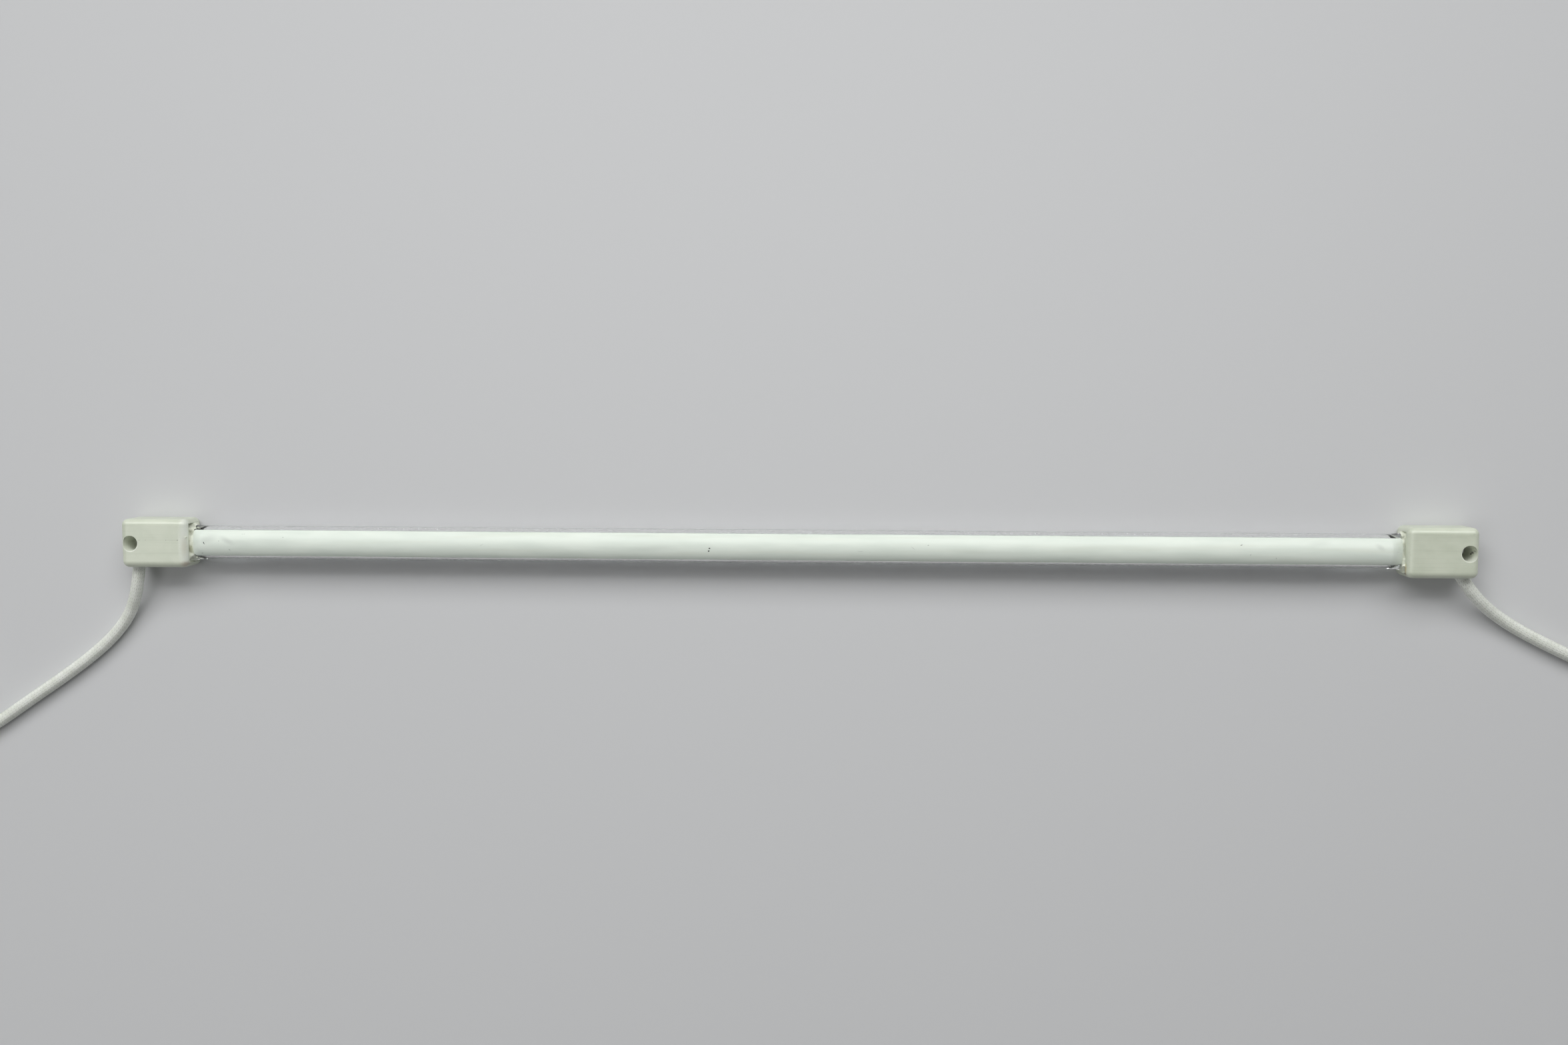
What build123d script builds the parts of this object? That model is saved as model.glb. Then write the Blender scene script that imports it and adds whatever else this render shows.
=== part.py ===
from build123d import *
import math
import os

# Infrared heating tube: a clear quartz lamp with a white reflector coat along one side,
# a coiled tungsten filament, a ceramic cap cemented on each end and two braided leads.
# X runs along the tube and +Z is up. The lamp lies on the flat backs of its caps, coat up.
# The origin is midway between the caps, on the surface that the lamp lies on.

# Driving dimensions in millimetres and degrees

overall_length = 395.0

tube_diameter = 10.0
tube_wall = 1.0
tube_floor_gap = 0.5
shoulder_length = 6.0
shoulder_inset = 2.0
pinch_thickness = 3.4
pinch_corner_radius = 0.9
pinch_step = 0.12
pinch_clearance = 0.25
pinch_end_gap = 3.5
bore_end_gap = 2.0

cap_length = 20.0
cap_width = 14.5
cap_edge_radius = 1.9
cap_side_wall = 1.4
cap_cheek = 2.1
cap_web = 1.8
mount_hole_diameter = 4.6
mount_hole_edge_wall = 0.6

coat_thickness = 0.15
coat_half_angle = 50.0
coat_turn = 3.0
coat_end_gap = 0.8

filament_diameter = 3.0
filament_wire = 0.38
filament_cold_end = 13.5
support_count = 12
support_wire = 0.3
support_clearance = 0.15
seat_gap = 0.02

inner_lead_diameter = 0.8
inner_lead_plug_length = 4.0
foil_width = 3.5
foil_thickness = 0.05
foil_end_margin = 0.8
weld_overlap = 1.6
pin_diameter = 1.0
pin_end_gap = 0.5
tab_length = 2.7
tab_thickness = 0.4
tab_overhang = 0.7
cement_recess = 0.4

lead_diameter = 3.6
lead_length = 300.0
conductor_diameter = 1.4
lead_slot_slack = 1.6
lead_slot_offset = 0.6
lead_slot_clearance = 0.3
lead_seat_depth = 1.85
channel_clearance = 0.3
arc_share = 0.45

coil_turn_radius = 21.0
coil_strand_gap = 0.2
coil_step_start = 0.76
tail_bend_radius = 12.0
tail_bend_angle = 100.0
tail_root_angle = 30.0
tie_thickness = 0.25
tie_gap = 0.12
tie_width = 3.0
tie_angle = 70.0
ferrule_barrel_diameter = 2.2
ferrule_barrel_length = 8.0
ferrule_collar_length = 1.2
ferrule_taper_length = 1.2

# Places that follow from the sizes

half_length = overall_length / 2
cap_thickness = tube_diameter + 2 * tube_floor_gap
axis_z = cap_thickness / 2
tube_radius = tube_diameter / 2
bore_radius = tube_radius - tube_wall

mouth_x = half_length - cap_length
mount_hole_x = half_length - mount_hole_edge_wall - mount_hole_diameter / 2
pocket_end_x = mount_hole_x - mount_hole_diameter / 2 - cap_web
pocket_half_width = cap_width / 2 - cap_side_wall
pocket_half_height = cap_thickness / 2 - cap_cheek

pinch_start_x = mouth_x + shoulder_inset
pinch_end_x = pocket_end_x - pinch_end_gap
pinch_half_width = pocket_half_width - pinch_clearance
pinch_half_height = pinch_thickness / 2
shoulder_start_x = pinch_start_x - shoulder_length

filament_radius = filament_diameter / 2
filament_bore_radius = filament_radius - filament_wire
filament_end_x = shoulder_start_x - filament_cold_end

pin_radius = pin_diameter / 2
conductor_radius = conductor_diameter / 2
weld_plane_z = axis_z - pin_radius
inner_lead_z = weld_plane_z + inner_lead_diameter / 2
foil_start_x = pinch_start_x + foil_end_margin
foil_end_x = pinch_end_x - foil_end_margin
pin_start_x = foil_end_x - weld_overlap
pin_end_x = pocket_end_x - pin_end_gap
tab_start_x = pin_end_x - tab_length

lead_radius = lead_diameter / 2
lead_z = weld_plane_z + conductor_radius
lead_exit_x = mount_hole_x
lead_exit_y = -cap_width / 2
lead_seat_y = lead_exit_y + lead_seat_depth
lead_slot_x = lead_exit_x - lead_slot_offset
lead_slot_length = lead_diameter + lead_slot_slack
channel_size = conductor_diameter + 2 * channel_clearance
channel_y = lead_seat_y + channel_size / 2

coil_pitch = lead_diameter + coil_strand_gap
coil_inner_radius = coil_turn_radius - coil_pitch
coil_middle_radius = coil_turn_radius - coil_pitch / 2
coil_z = tie_thickness + tie_gap + lead_radius

# Routes of the leads, from inside the cap to the start of the coil: how far out along X and how
# far along Y from the exit, and the height of the lead's middle above the surface

exit_height = lead_z
floor_height = lead_radius
lead_routes = {
    "left": [
        (-0.40, 3.2, exit_height),
        (0.30, -2.8, exit_height - 0.05),
        (1.9, -8.6, 4.4),
        (4.9, -14.9, 2.4),
        (9.9, -21.4, floor_height),
        (17.3, -28.0, floor_height),
        (26.8, -34.9, floor_height),
        (37.9, -42.3, floor_height),
        (50.5, -51.0, floor_height),
        (63.6, -58.1, coil_z),
    ],
    "right": [
        (-1.9, 3.2, exit_height),
        (1.1, -1.9, exit_height - 0.1),
        (5.0, -6.4, 4.6),
        (9.9, -10.5, 2.8),
        (16.6, -14.9, floor_height),
        (24.9, -19.3, floor_height),
        (34.6, -23.9, floor_height),
        (44.0, -28.0, floor_height),
        (53.2, -31.6, coil_z),
    ],
}
ends = {"left": -1, "right": 1}


def block(x_range, y_range, z_range):
    """A box between two values on each axis."""
    spans = (x_range, y_range, z_range)
    middle = [(low + high) / 2 for low, high in spans]
    return Pos(*middle) * Box(*[high - low for low, high in spans])


def rod(x_range, radius, z=axis_z):
    """A round rod along X."""
    start, stop = x_range
    return Pos((start + stop) / 2, 0, z) * Rot(0, 90, 0) * Cylinder(radius, stop - start)


def swept_rod(path, radius):
    """A round rod along a path."""
    profile = Plane(origin=path @ 0, z_dir=path % 0) * Circle(radius)
    return sweep(profile, path=path)


def at_end(shape, name):
    """A piece modelled at the right-hand end, put at the named end."""
    return shape if ends[name] > 0 else mirror(shape, about=Plane.YZ)


def both_ends(shape):
    """A piece modelled at the right-hand end, together with its mirror image."""
    return shape + mirror(shape, about=Plane.YZ)


def oval(x, half_width, half_height):
    """An oval section of the tube at one place along it."""
    plane = Plane(origin=(x, 0, axis_z), x_dir=(0, 1, 0), z_dir=(1, 0, 0))
    return plane * Ellipse(half_width, half_height)


def shoulder(round_radius, flat_half_width, flat_half_height, start_x, end_x):
    """The stretch where the round tube becomes flat."""
    middle_width = (round_radius + flat_half_width) / 2
    middle_height = (round_radius + flat_half_height) / 2
    return loft(
        [
            oval(start_x, round_radius, round_radius),
            oval((start_x + end_x) / 2, middle_width, middle_height),
            oval(end_x, flat_half_width, flat_half_height),
        ]
    )


def tube_outside(extra=0.0):
    """The tube's outer form without its pinches, grown by an even layer."""
    straight = rod((-shoulder_start_x, shoulder_start_x), tube_radius + extra)
    end = shoulder(
        tube_radius + extra,
        pinch_half_width - pinch_step + extra,
        pinch_half_height - pinch_step + extra,
        shoulder_start_x,
        pinch_start_x,
    )
    return straight + both_ends(end)


def pinch():
    """The flat sealed end, with rounded edges along X."""
    plane = Plane(origin=(pinch_start_x, 0, axis_z), x_dir=(0, 1, 0), z_dir=(1, 0, 0))
    face = plane * RectangleRounded(2 * pinch_half_width, pinch_thickness, pinch_corner_radius)
    return extrude(face, pinch_end_x - pinch_start_x)


def inner_lead():
    """Rod from the seal to the filament, with a plug that fills the end of the filament's bore."""
    shaft = rod((filament_end_x, foil_start_x + weld_overlap), inner_lead_diameter / 2, z=inner_lead_z)
    plug = rod((filament_end_x - inner_lead_plug_length, filament_end_x), filament_bore_radius - seat_gap)
    return shaft + plug


def seal_foil():
    """Thin foil that carries the current through the pinch."""
    half_width = foil_width / 2
    return block(
        (foil_start_x, foil_end_x), (-half_width, half_width), (weld_plane_z - foil_thickness, weld_plane_z)
    )


def outer_pin():
    """Pin from the foil out of the pinch."""
    return rod((pin_start_x, pin_end_x), pin_radius)


def sealed_outside():
    """The outer form of the whole tube, pinches included."""
    return tube_outside() + both_ends(pinch())


def quartz_tube():
    """The hollow tube with both ends sealed around their foils and pins."""
    bore = rod((-shoulder_start_x, shoulder_start_x), bore_radius)
    bore_end = shoulder(
        bore_radius,
        bore_radius - tube_wall,
        pinch_half_height - tube_wall / 2,
        shoulder_start_x,
        pinch_start_x - bore_end_gap,
    )
    sealed_in = inner_lead() + seal_foil() + outer_pin()
    return sealed_outside() - bore - both_ends(bore_end) - both_ends(sealed_in)


def reflector_coat():
    """The coat on the upper part of the tube, up to the cap mouths."""
    coat_end_x = mouth_x - coat_end_gap
    outer_radius = tube_radius + coat_thickness
    upper_edge = outer_radius * math.sin(math.radians(coat_half_angle + coat_turn))
    lower_edge = outer_radius * math.sin(math.radians(coat_half_angle - coat_turn))
    window = block((-coat_end_x, coat_end_x), (-lower_edge, upper_edge), (axis_z, axis_z + tube_diameter))
    return (tube_outside(coat_thickness) - tube_outside()) & window


def filament():
    """The filament's coil as a hollow cylinder of its outer form."""
    span = (-filament_end_x, filament_end_x)
    return rod(span, filament_radius) - rod(span, filament_bore_radius)


def filament_support(x):
    """Wire ring around the filament, with a spoke to a larger ring beside the tube's wall."""
    half_wire = support_wire / 2
    inner_radius = filament_radius + half_wire + seat_gap
    outer_radius = bore_radius - support_clearance - half_wire
    rings = [Torus(radius, half_wire) for radius in (inner_radius, outer_radius)]
    turned = [Pos(x, 0, axis_z) * Rot(0, 90, 0) * ring for ring in rings]
    spoke_z = axis_z - (inner_radius + outer_radius) / 2
    spoke = Pos(x, 0, spoke_z) * Cylinder(half_wire, outer_radius - inner_radius)
    return turned[0] + spoke + turned[1]


def cap_pocket(start_x, end_x):
    """A stretch of the space in the cap that takes the pinch and the wires."""
    return block(
        (start_x, end_x),
        (-pocket_half_width, pocket_half_width),
        (axis_z - pocket_half_height, axis_z + pocket_half_height),
    )


def end_cap():
    """Ceramic cap with its pocket, mounting hole, lead slot and wire channel."""
    body = block((mouth_x, half_length), (-cap_width / 2, cap_width / 2), (0, cap_thickness))
    body = fillet(body.edges(), cap_edge_radius)
    hole = Pos(mount_hole_x, 0, axis_z) * Cylinder(mount_hole_diameter / 2, 2 * cap_thickness)
    slot_plane = Plane(origin=(lead_slot_x, lead_seat_y, lead_z), x_dir=(1, 0, 0), z_dir=(0, -1, 0))
    slot_face = slot_plane * SlotOverall(lead_slot_length, lead_diameter + 2 * lead_slot_clearance)
    slot = extrude(slot_face, 2 * lead_seat_depth)
    channel = block(
        (pocket_end_x - seat_gap, lead_exit_x + channel_size / 2),
        (lead_seat_y, lead_seat_y + channel_size),
        (lead_z - channel_size / 2, lead_z + channel_size / 2),
    )
    return body - cap_pocket(mouth_x - cap_length, pocket_end_x) - hole - slot - channel


def weld_tab():
    """Strip under the pin and the conductor, welded to both."""
    return block(
        (tab_start_x, pin_end_x),
        (channel_y - tab_overhang, pin_radius + tab_overhang),
        (weld_plane_z - tab_thickness, weld_plane_z),
    )


def route_points(name):
    """The chosen route of one lead, in the object's frame."""
    side = ends[name]
    return [
        Vector(side * (lead_exit_x + out), lead_exit_y + along, height)
        for out, along, height in lead_routes[name]
    ]


def seat_x(name):
    """Distance from the middle at which a lead's own middle meets the end of its seat."""
    first, second = route_points(name)[:2]
    share = (first.Y - lead_seat_y) / (first.Y - second.Y)
    return abs(first.X + (second.X - first.X) * share)


def conductor(name):
    """Bare end of the lead's wire, from the lead's seat along the channel onto the weld tab."""
    bend = channel_y - lead_seat_y - seat_gap
    start_x = seat_x(name)
    path = FilletPolyline(
        (start_x, lead_seat_y, lead_z),
        (start_x, channel_y, lead_z),
        (tab_start_x, channel_y, lead_z),
        radius=[bend],
    )
    return at_end(swept_rod(path, conductor_radius), name)


def cement():
    """Cement that fills the pocket around the pinch, and leaves the wires behind it free."""
    return cap_pocket(mouth_x + cement_recess, pinch_end_x) - sealed_outside()


def corner_radii(points):
    """The largest arc that each corner's two runs leave room for."""
    radii = []
    for before, corner, after in zip(points, points[1:], points[2:]):
        arriving = corner - before
        leaving = after - corner
        turn = math.radians(arriving.get_angle(leaving))
        shorter = min(arriving.length, leaving.length)
        radii.append(arc_share * shorter / math.tan(turn / 2))
    return radii


def coil_frame(name):
    """Middle of a lead's coil, the angle where the lead joins it and the sense in which it winds."""
    before, joint = route_points(name)[-2:]
    heading = math.atan2(joint.Y - before.Y, joint.X - before.X)
    sense = ends[name]
    joint_angle = heading - sense * math.pi / 2
    middle = joint - coil_turn_radius * Vector(math.cos(joint_angle), math.sin(joint_angle), 0)
    return middle, math.degrees(joint_angle), sense


def run_path(name):
    """Straight runs and tangent arcs through the points of a lead's route."""
    points = route_points(name)
    return FilletPolyline(*points, radius=corner_radii(points))


def seen_run_length(name):
    """Length of a lead from the side of its cap to its coil."""
    inside = route_points(name)[0].Y - lead_exit_y
    return run_path(name).length - inside


def lead_run(name):
    """The stretch of a lead from its seat in the cap to its coil."""
    path = run_path(name)
    tube = swept_rod(path, lead_radius)
    expected = math.pi * lead_radius**2 * path.length
    radii = [round(radius, 1) for radius in corner_radii(route_points(name))]
    print(f"lead {name}: {seen_run_length(name):.1f} mm to its coil, radii {radii}")
    print(f"lead {name}: volume over section times length {tube.volume / expected:.4f}")
    middle = coil_frame(name)[0]
    coil_side = Pos(middle.X, middle.Y, coil_z) * Cylinder(
        coil_turn_radius + lead_radius + coil_strand_gap, 4 * lead_diameter
    )
    in_cap = block(
        (-overall_length, overall_length), (lead_seat_y, lead_seat_y + cap_width), (0, 2 * cap_thickness)
    )
    return tube - coil_side - in_cap


def tail_frame(name):
    """Middle of the bend at the end of a lead's coil and the angle where the bend starts."""
    middle, joint_angle, sense = coil_frame(name)
    step = 1 - coil_step_start
    first_turn = 2 * math.pi * (coil_turn_radius * coil_step_start + coil_middle_radius * step)
    tail = math.radians(tail_bend_angle) * tail_bend_radius
    left_over = lead_length - seen_run_length(name) - tail - first_turn
    turns = 1 + left_over / (2 * math.pi * coil_inner_radius)
    angle = joint_angle + sense * 360 * turns
    reach = coil_inner_radius - tail_bend_radius
    offset = Vector(math.cos(math.radians(angle)), math.sin(math.radians(angle)), 0)
    return middle + reach * offset, angle, sense


def lead_coil(name):
    """Ring of the coil's outer form, with the lead's end bent inwards from it."""
    middle = coil_frame(name)[0]
    section = Plane.XZ * Pos(coil_middle_radius, 0) * SlotOverall(coil_pitch + lead_diameter, lead_diameter)
    ring = Pos(middle.X, middle.Y, coil_z) * revolve(section, Axis.Z)
    bend_middle, angle, sense = tail_frame(name)
    path = CenterArc(
        (bend_middle.X, bend_middle.Y, coil_z),
        tail_bend_radius,
        angle + sense * tail_root_angle,
        sense * (tail_bend_angle - tail_root_angle),
    )
    return ring + swept_rod(path, lead_radius)


def coil_tie(name):
    """Band around the turns of a coil."""
    middle, joint_angle, sense = coil_frame(name)
    angle = math.radians(joint_angle + sense * tie_angle)
    outwards = Vector(math.cos(angle), math.sin(angle), 0)
    along = Vector(-math.sin(angle), math.cos(angle), 0)
    place = Vector(middle.X, middle.Y, coil_z) + coil_middle_radius * outwards
    plane = Plane(origin=place - along * (tie_width / 2), x_dir=outwards, z_dir=along)
    length = coil_pitch + lead_diameter
    inside = SlotOverall(length + 2 * tie_gap, lead_diameter + 2 * tie_gap)
    grown = 2 * (tie_gap + tie_thickness)
    outside = SlotOverall(length + grown, lead_diameter + grown)
    return extrude(plane * (outside - inside), tie_width)


def lead_ferrule(name):
    """Crimped ferrule on the end of a lead."""
    bend_middle, angle, sense = tail_frame(name)
    last = math.radians(angle + sense * tail_bend_angle)
    place = Vector(bend_middle.X, bend_middle.Y, coil_z)
    place = place + tail_bend_radius * Vector(math.cos(last), math.sin(last), 0)
    heading = sense * Vector(-math.sin(last), math.cos(last), 0)
    barrel_radius = ferrule_barrel_diameter / 2
    rest_on = (Align.CENTER, Align.CENTER, Align.MIN)
    collar = Cylinder(lead_radius, ferrule_collar_length, align=rest_on)
    taper = Pos(0, 0, ferrule_collar_length) * Cone(
        lead_radius, barrel_radius, ferrule_taper_length, align=rest_on
    )
    barrel = Pos(0, 0, ferrule_collar_length + ferrule_taper_length) * Cylinder(
        barrel_radius, ferrule_barrel_length, align=rest_on
    )
    return Plane(origin=place, z_dir=heading) * (collar + taper + barrel)


def make_parts():
    """Every piece by name."""
    parts = {
        "quartz_tube": quartz_tube(),
        "reflector_coating": reflector_coat(),
        "filament": filament(),
    }
    spacing = 2 * filament_end_x / (support_count + 1)
    for number in range(1, support_count + 1):
        parts[f"filament_support_{number:02d}"] = filament_support(-filament_end_x + number * spacing)
    for name in ends:
        parts[f"inner_lead_{name}"] = at_end(inner_lead(), name)
        parts[f"seal_foil_{name}"] = at_end(seal_foil(), name)
        parts[f"outer_pin_{name}"] = at_end(outer_pin(), name)
        parts[f"weld_tab_{name}"] = at_end(weld_tab(), name)
        parts[f"lead_conductor_{name}"] = conductor(name)
        parts[f"end_cap_{name}"] = at_end(end_cap(), name)
        parts[f"cap_cement_{name}"] = at_end(cement(), name)
        parts[f"lead_{name}"] = lead_run(name)
        parts[f"lead_coil_{name}"] = lead_coil(name)
        parts[f"coil_tie_{name}"] = coil_tie(name)
        parts[f"lead_ferrule_{name}"] = lead_ferrule(name)
    return parts


os.makedirs("parts", exist_ok=True)
for node, shape in make_parts().items():
    export_step(shape, f"parts/{node}.step")
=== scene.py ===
import math

import bpy
import numpy as np
from mathutils import Matrix, Vector, noise


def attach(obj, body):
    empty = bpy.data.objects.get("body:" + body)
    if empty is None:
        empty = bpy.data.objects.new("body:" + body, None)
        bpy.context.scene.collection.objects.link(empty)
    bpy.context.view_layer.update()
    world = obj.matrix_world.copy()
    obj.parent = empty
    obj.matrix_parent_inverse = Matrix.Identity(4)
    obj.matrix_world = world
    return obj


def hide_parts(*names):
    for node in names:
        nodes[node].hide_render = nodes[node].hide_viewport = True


# Infrared heating tube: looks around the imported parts. Sizes are in millimetres until a mesh is made.

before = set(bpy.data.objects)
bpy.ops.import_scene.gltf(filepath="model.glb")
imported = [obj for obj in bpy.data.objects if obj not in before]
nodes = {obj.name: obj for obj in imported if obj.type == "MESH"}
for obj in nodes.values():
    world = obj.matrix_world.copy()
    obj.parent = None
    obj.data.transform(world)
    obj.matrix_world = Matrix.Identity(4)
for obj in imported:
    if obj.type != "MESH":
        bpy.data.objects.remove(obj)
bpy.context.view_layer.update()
scene = bpy.context.scene
scene.view_settings.view_transform = "Standard"
mm = 0.001
ends = {"left": -1, "right": 1}

# Camera as fitted to the photograph, with its place in metres and its turns in degrees

camera_sensor = 36.0
camera_lens = 33.42
camera_clip = (0.01, 50.0)
camera_place = (0.02467, 0.04264, 0.43033)
camera_yaw = -3.2992
camera_pitch = 4.7725
camera_roll = -0.1140

# Caps, and the light painted into their mounting holes: paler walls, with a pale ring at the rim that
# stands in for a highlight

cap_top = 11.0
axis_z = cap_top / 2
mouth = 177.5
pocket_half_width = 5.85
pocket_half_height = 3.4
hole_x = 194.6
hole_light_y = -0.17
hole_light_reach = 2.5
hole_light_height = 20.0

# Edges of the solids that turn by more than this many degrees stay sharp

sharp_edge = 32.0

# Quartz tube: round along its length, then shoulders down to flat pinches that step out and square off

tube_radius = 5.0
bore_radius = 4.0
shoulder_start = 173.5
pinch_start = 179.5
pinch_end = 187.0
pinch_half_width = 5.6
pinch_half_height = 1.7
pinch_step = 0.12
pinch_step_run = 0.4
round_shape = 2.0
pinch_shape = 6.0
bore_pinch_gap = 2.0
bore_end = pinch_start - bore_pinch_gap
bore_end_half_width = 3.0
bore_end_half_height = 1.2

# Where the rings of the glass mesh lie: far apart along the tube and close together at the shoulders

first_ring_x = 4.0
long_rings_end = shoulder_start - 2.0
close_rings_start = shoulder_start - 1.5
flat_rings_start = pinch_start + 1.0
flat_rings_end = pinch_end - 0.35
bore_long_rings_end = shoulder_start - 1.0

# Rings that round off the ends of the glass and of its bore: share of the size, and place

pinch_closing = [(0.88, pinch_end - 0.12), (0.70, pinch_end)]
bore_closing = [(0.8, bore_end + 0.25), (0.4, bore_end + 0.4)]

# Reflector coat: how far it goes around the tube, in degrees, and along it

coat_thickness = 0.15
coat_glass_gap = 0.012
coat_upper_angle = 53.0
coat_lower_angle = 47.0
coat_mouth_gap = 0.8
coat_end = mouth - coat_mouth_gap

# How far the coat goes past its solid at each end, how uneven that edge is and how its corners are cut

coat_reach = {-1: -0.25, 1: 0.4}
coat_ragged = {-1: 0.22, 1: 0.10}
coat_corner_share = 0.14
coat_corner_cut = 0.8

# How the coat's long edges sway, in degrees, and how it thins out towards its edges

coat_sway = 0.7
coat_sway_length = 14.0
coat_side_feather = 3.0
coat_end_feather = 0.5
coat_thinnest = 0.25
coat_uneven = 0.06

# Filament

filament_radius = 1.5
filament_wire = 0.38
filament_end = 160.0
filament_pitch = 0.755

# Leads: the same routes as the solids, from the seat in the cap to the coil

exit_x = hole_x
exit_y = -7.25
exit_height = 5.7
lead_diameter = 3.6
floor_height = lead_diameter / 2
coil_height = 2.17
lead_routes = {
    "left": [
        (-0.24, 1.84, exit_height),
        (0.30, -2.8, exit_height - 0.05),
        (1.9, -8.6, 4.4),
        (4.9, -14.9, 2.4),
        (9.9, -21.4, floor_height),
        (17.3, -28.0, floor_height),
        (26.8, -34.9, floor_height),
        (37.9, -42.3, floor_height),
        (50.5, -51.0, floor_height),
        (63.6, -58.1, coil_height),
    ],
    "right": [
        (-1.10, 1.84, exit_height),
        (1.1, -1.9, exit_height - 0.1),
        (5.0, -6.4, 4.6),
        (9.9, -10.5, 2.8),
        (16.6, -14.9, floor_height),
        (24.9, -19.3, floor_height),
        (34.6, -23.9, floor_height),
        (44.0, -28.0, floor_height),
        (53.2, -31.6, coil_height),
    ],
}
coil_turns = {"left": 1.5592, "right": 1.7986}
coil_outer_radius = 21.0
coil_inner_radius = 17.2
coil_step_start = 0.76
coil_points_per_turn = 16
tail_radius = 12.0
tail_angle = 100.0
tail_points = 5
spline_steps = 40

# Braid: yarns of each hand, their spacing along the lead, how far they stand out and how uneven they are

braid_yarns = 18
braid_spacing = 1.15
braid_relief = 0.20
braid_uneven = 0.10
braid_highest = 1.1
braid_seed = 7
braid_step = 0.26
braid_around = 72

# Share of a yarn's height that is round, and share by which it rises and dips as it crosses others

yarn_round = 0.5
yarn_sway = 0.375

# Cement: its hollows, with their place across the mouth, half width and depth, and how far it creeps out

cement_hollows = {
    "left": [(5.2, 0.8, 0.9), (3.0, 0.9, 0.7), (-1.5, 1.5, 1.5), (-5.2, 0.8, 0.8)],
    "right": [(5.2, 0.8, 0.8), (1.2, 2.2, 0.35), (-5.0, 0.7, 0.5)],
}
cement_creep = {"left": 1.3, "right": 0.7}
cement_recess = 0.06
cement_roughness = 0.16
cement_glass_gap = 0.03
cement_wall_gap = 0.02
cement_sharp_edge = 60.0

# Lumps of cement on the lips and on the glass beside them: middle and half sizes

cement_lumps = {
    "left": [
        ((-177.92, 1.85, 10.22), (0.55, 0.26, 0.28)),
        ((-175.9, 4.35, 7.75), (0.34, 0.26, 0.22)),
        ((-175.3, 4.62, 7.35), (0.26, 0.14, 0.18)),
        ((-174.7, 4.42, 7.85), (0.42, 0.10, 0.12)),
        ((-175.6, -4.30, 7.80), (0.30, 0.22, 0.20)),
        ((-174.9, -4.55, 7.50), (0.36, 0.14, 0.16)),
        ((-174.2, -4.48, 7.70), (0.24, 0.10, 0.12)),
    ],
    "right": [((177.2, -3.75, 8.95), (0.50, 0.42, 0.30)), ((176.9, 4.55, 8.0), (0.40, 0.30, 0.24))],
}
lump_swell = 0.45

# Marks on the coat: centre, half sizes, turn in degrees and strength

coat_smudges = [
    ((-171.1, 1.4, 10.5), (2.2, 1.0, 2.0), 15, 0.22),
    ((-165.2, 1.0, 10.5), (1.9, 0.6, 2.0), -25, 0.26),
    ((-161.0, 0.4, 10.6), (3.4, 0.7, 2.0), -6, 0.12),
    ((-150.0, 0.9, 10.6), (6.0, 0.8, 2.0), -3, 0.10),
    ((153.0, 2.4, 10.1), (2.6, 0.7, 2.0), 8, 0.12),
    ((170.0, 1.5, 10.4), (1.1, 0.6, 2.0), -30, 0.25),
    ((-38.0, -0.4, 10.6), (5.0, 0.7, 2.0), 4, 0.10),
    ((60.0, -0.9, 10.6), (9.0, 0.7, 2.0), 0, 0.10),
]
coat_chips = [
    ((-172.13, 0.21, 10.6), (0.42, 0.13, 1.0), -62, 0.92),
    ((-21.27, -0.20, 10.6), (0.24, 0.21, 1.0), 0, 0.95),
    ((-21.48, -0.99, 10.5), (0.27, 0.20, 1.0), 20, 0.95),
    ((-173.06, -2.87, 9.8), (0.24, 0.12, 1.0), 0, 0.35),
    ((-164.54, -1.75, 10.3), (0.34, 0.11, 1.0), -40, 0.34),
    ((-167.66, 0.88, 10.6), (0.15, 0.11, 1.0), 0, 0.36),
    ((-160.80, 2.90, 9.8), (0.11, 0.09, 1.0), 0, 0.32),
    ((-160.20, 2.90, 9.8), (0.11, 0.09, 1.0), 0, 0.32),
    ((-148.3, 2.05, 10.2), (0.14, 0.11, 1.0), 0, 0.5),
    ((131.18, 1.90, 10.3), (0.34, 0.12, 1.0), 25, 0.6),
    ((42.2, 1.15, 10.5), (0.18, 0.13, 1.0), 0, 0.45),
    ((37.8, 0.35, 10.6), (0.7, 0.06, 1.0), -38, 0.3),
    ((22.6, -0.75, 10.6), (0.9, 0.06, 1.0), -4, 0.3),
    ((-88.5, 0.3, 10.6), (0.55, 0.06, 1.0), 32, 0.28),
    ((133.74, -0.90, 10.5), (0.24, 0.12, 1.0), 30, 0.35),
    ((141.03, -1.82, 10.3), (0.16, 0.12, 1.0), 0, 0.35),
    ((175.49, 0.21, 10.6), (0.9, 0.07, 1.0), 4, 0.35),
]

# Marks on the caps, in the same form

left_marks = [
    ((-191.7, 1.01, cap_top), (0.42, 0.12, 0.3), 0, 0.2),
    ((-189.7, 1.03, cap_top), (0.16, 0.12, 0.3), 0, 0.2),
    ((-183.5, 1.08, cap_top), (0.16, 0.11, 2.0), 0, 0.35),
    ((-180.0, 1.08, cap_top), (0.19, 0.13, 2.0), 0, 0.6),
]
left_line = [
    ((-181.7, 1.07, cap_top), (1.7, 0.06, 2.0), 0.3, 0.3),
    ((-187.0, 1.04, cap_top), (4.5, 0.06, 2.0), 0.3, 0.1),
]
right_marks = [
    ((195.5, 5.4, cap_top), (0.5, 0.09, 2.0), 8, 0.15),
    ((196.8, -0.55, 5.9), (0.4, 0.30, 0.6), 0, 0.85),
    ((196.9, -0.10, 6.8), (0.4, 0.28, 0.8), 0, 0.8),
    ((196.8, 0.50, 8.5), (0.4, 0.20, 1.0), 0, 0.45),
]

# Tinted places on the caps and the cement: centre, half sizes, tint and strength. The caps' lists hold
# stains, painted light on the left lip and painted shade in the right hole; the cement's tints are
# painted shade in its hollows

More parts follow.
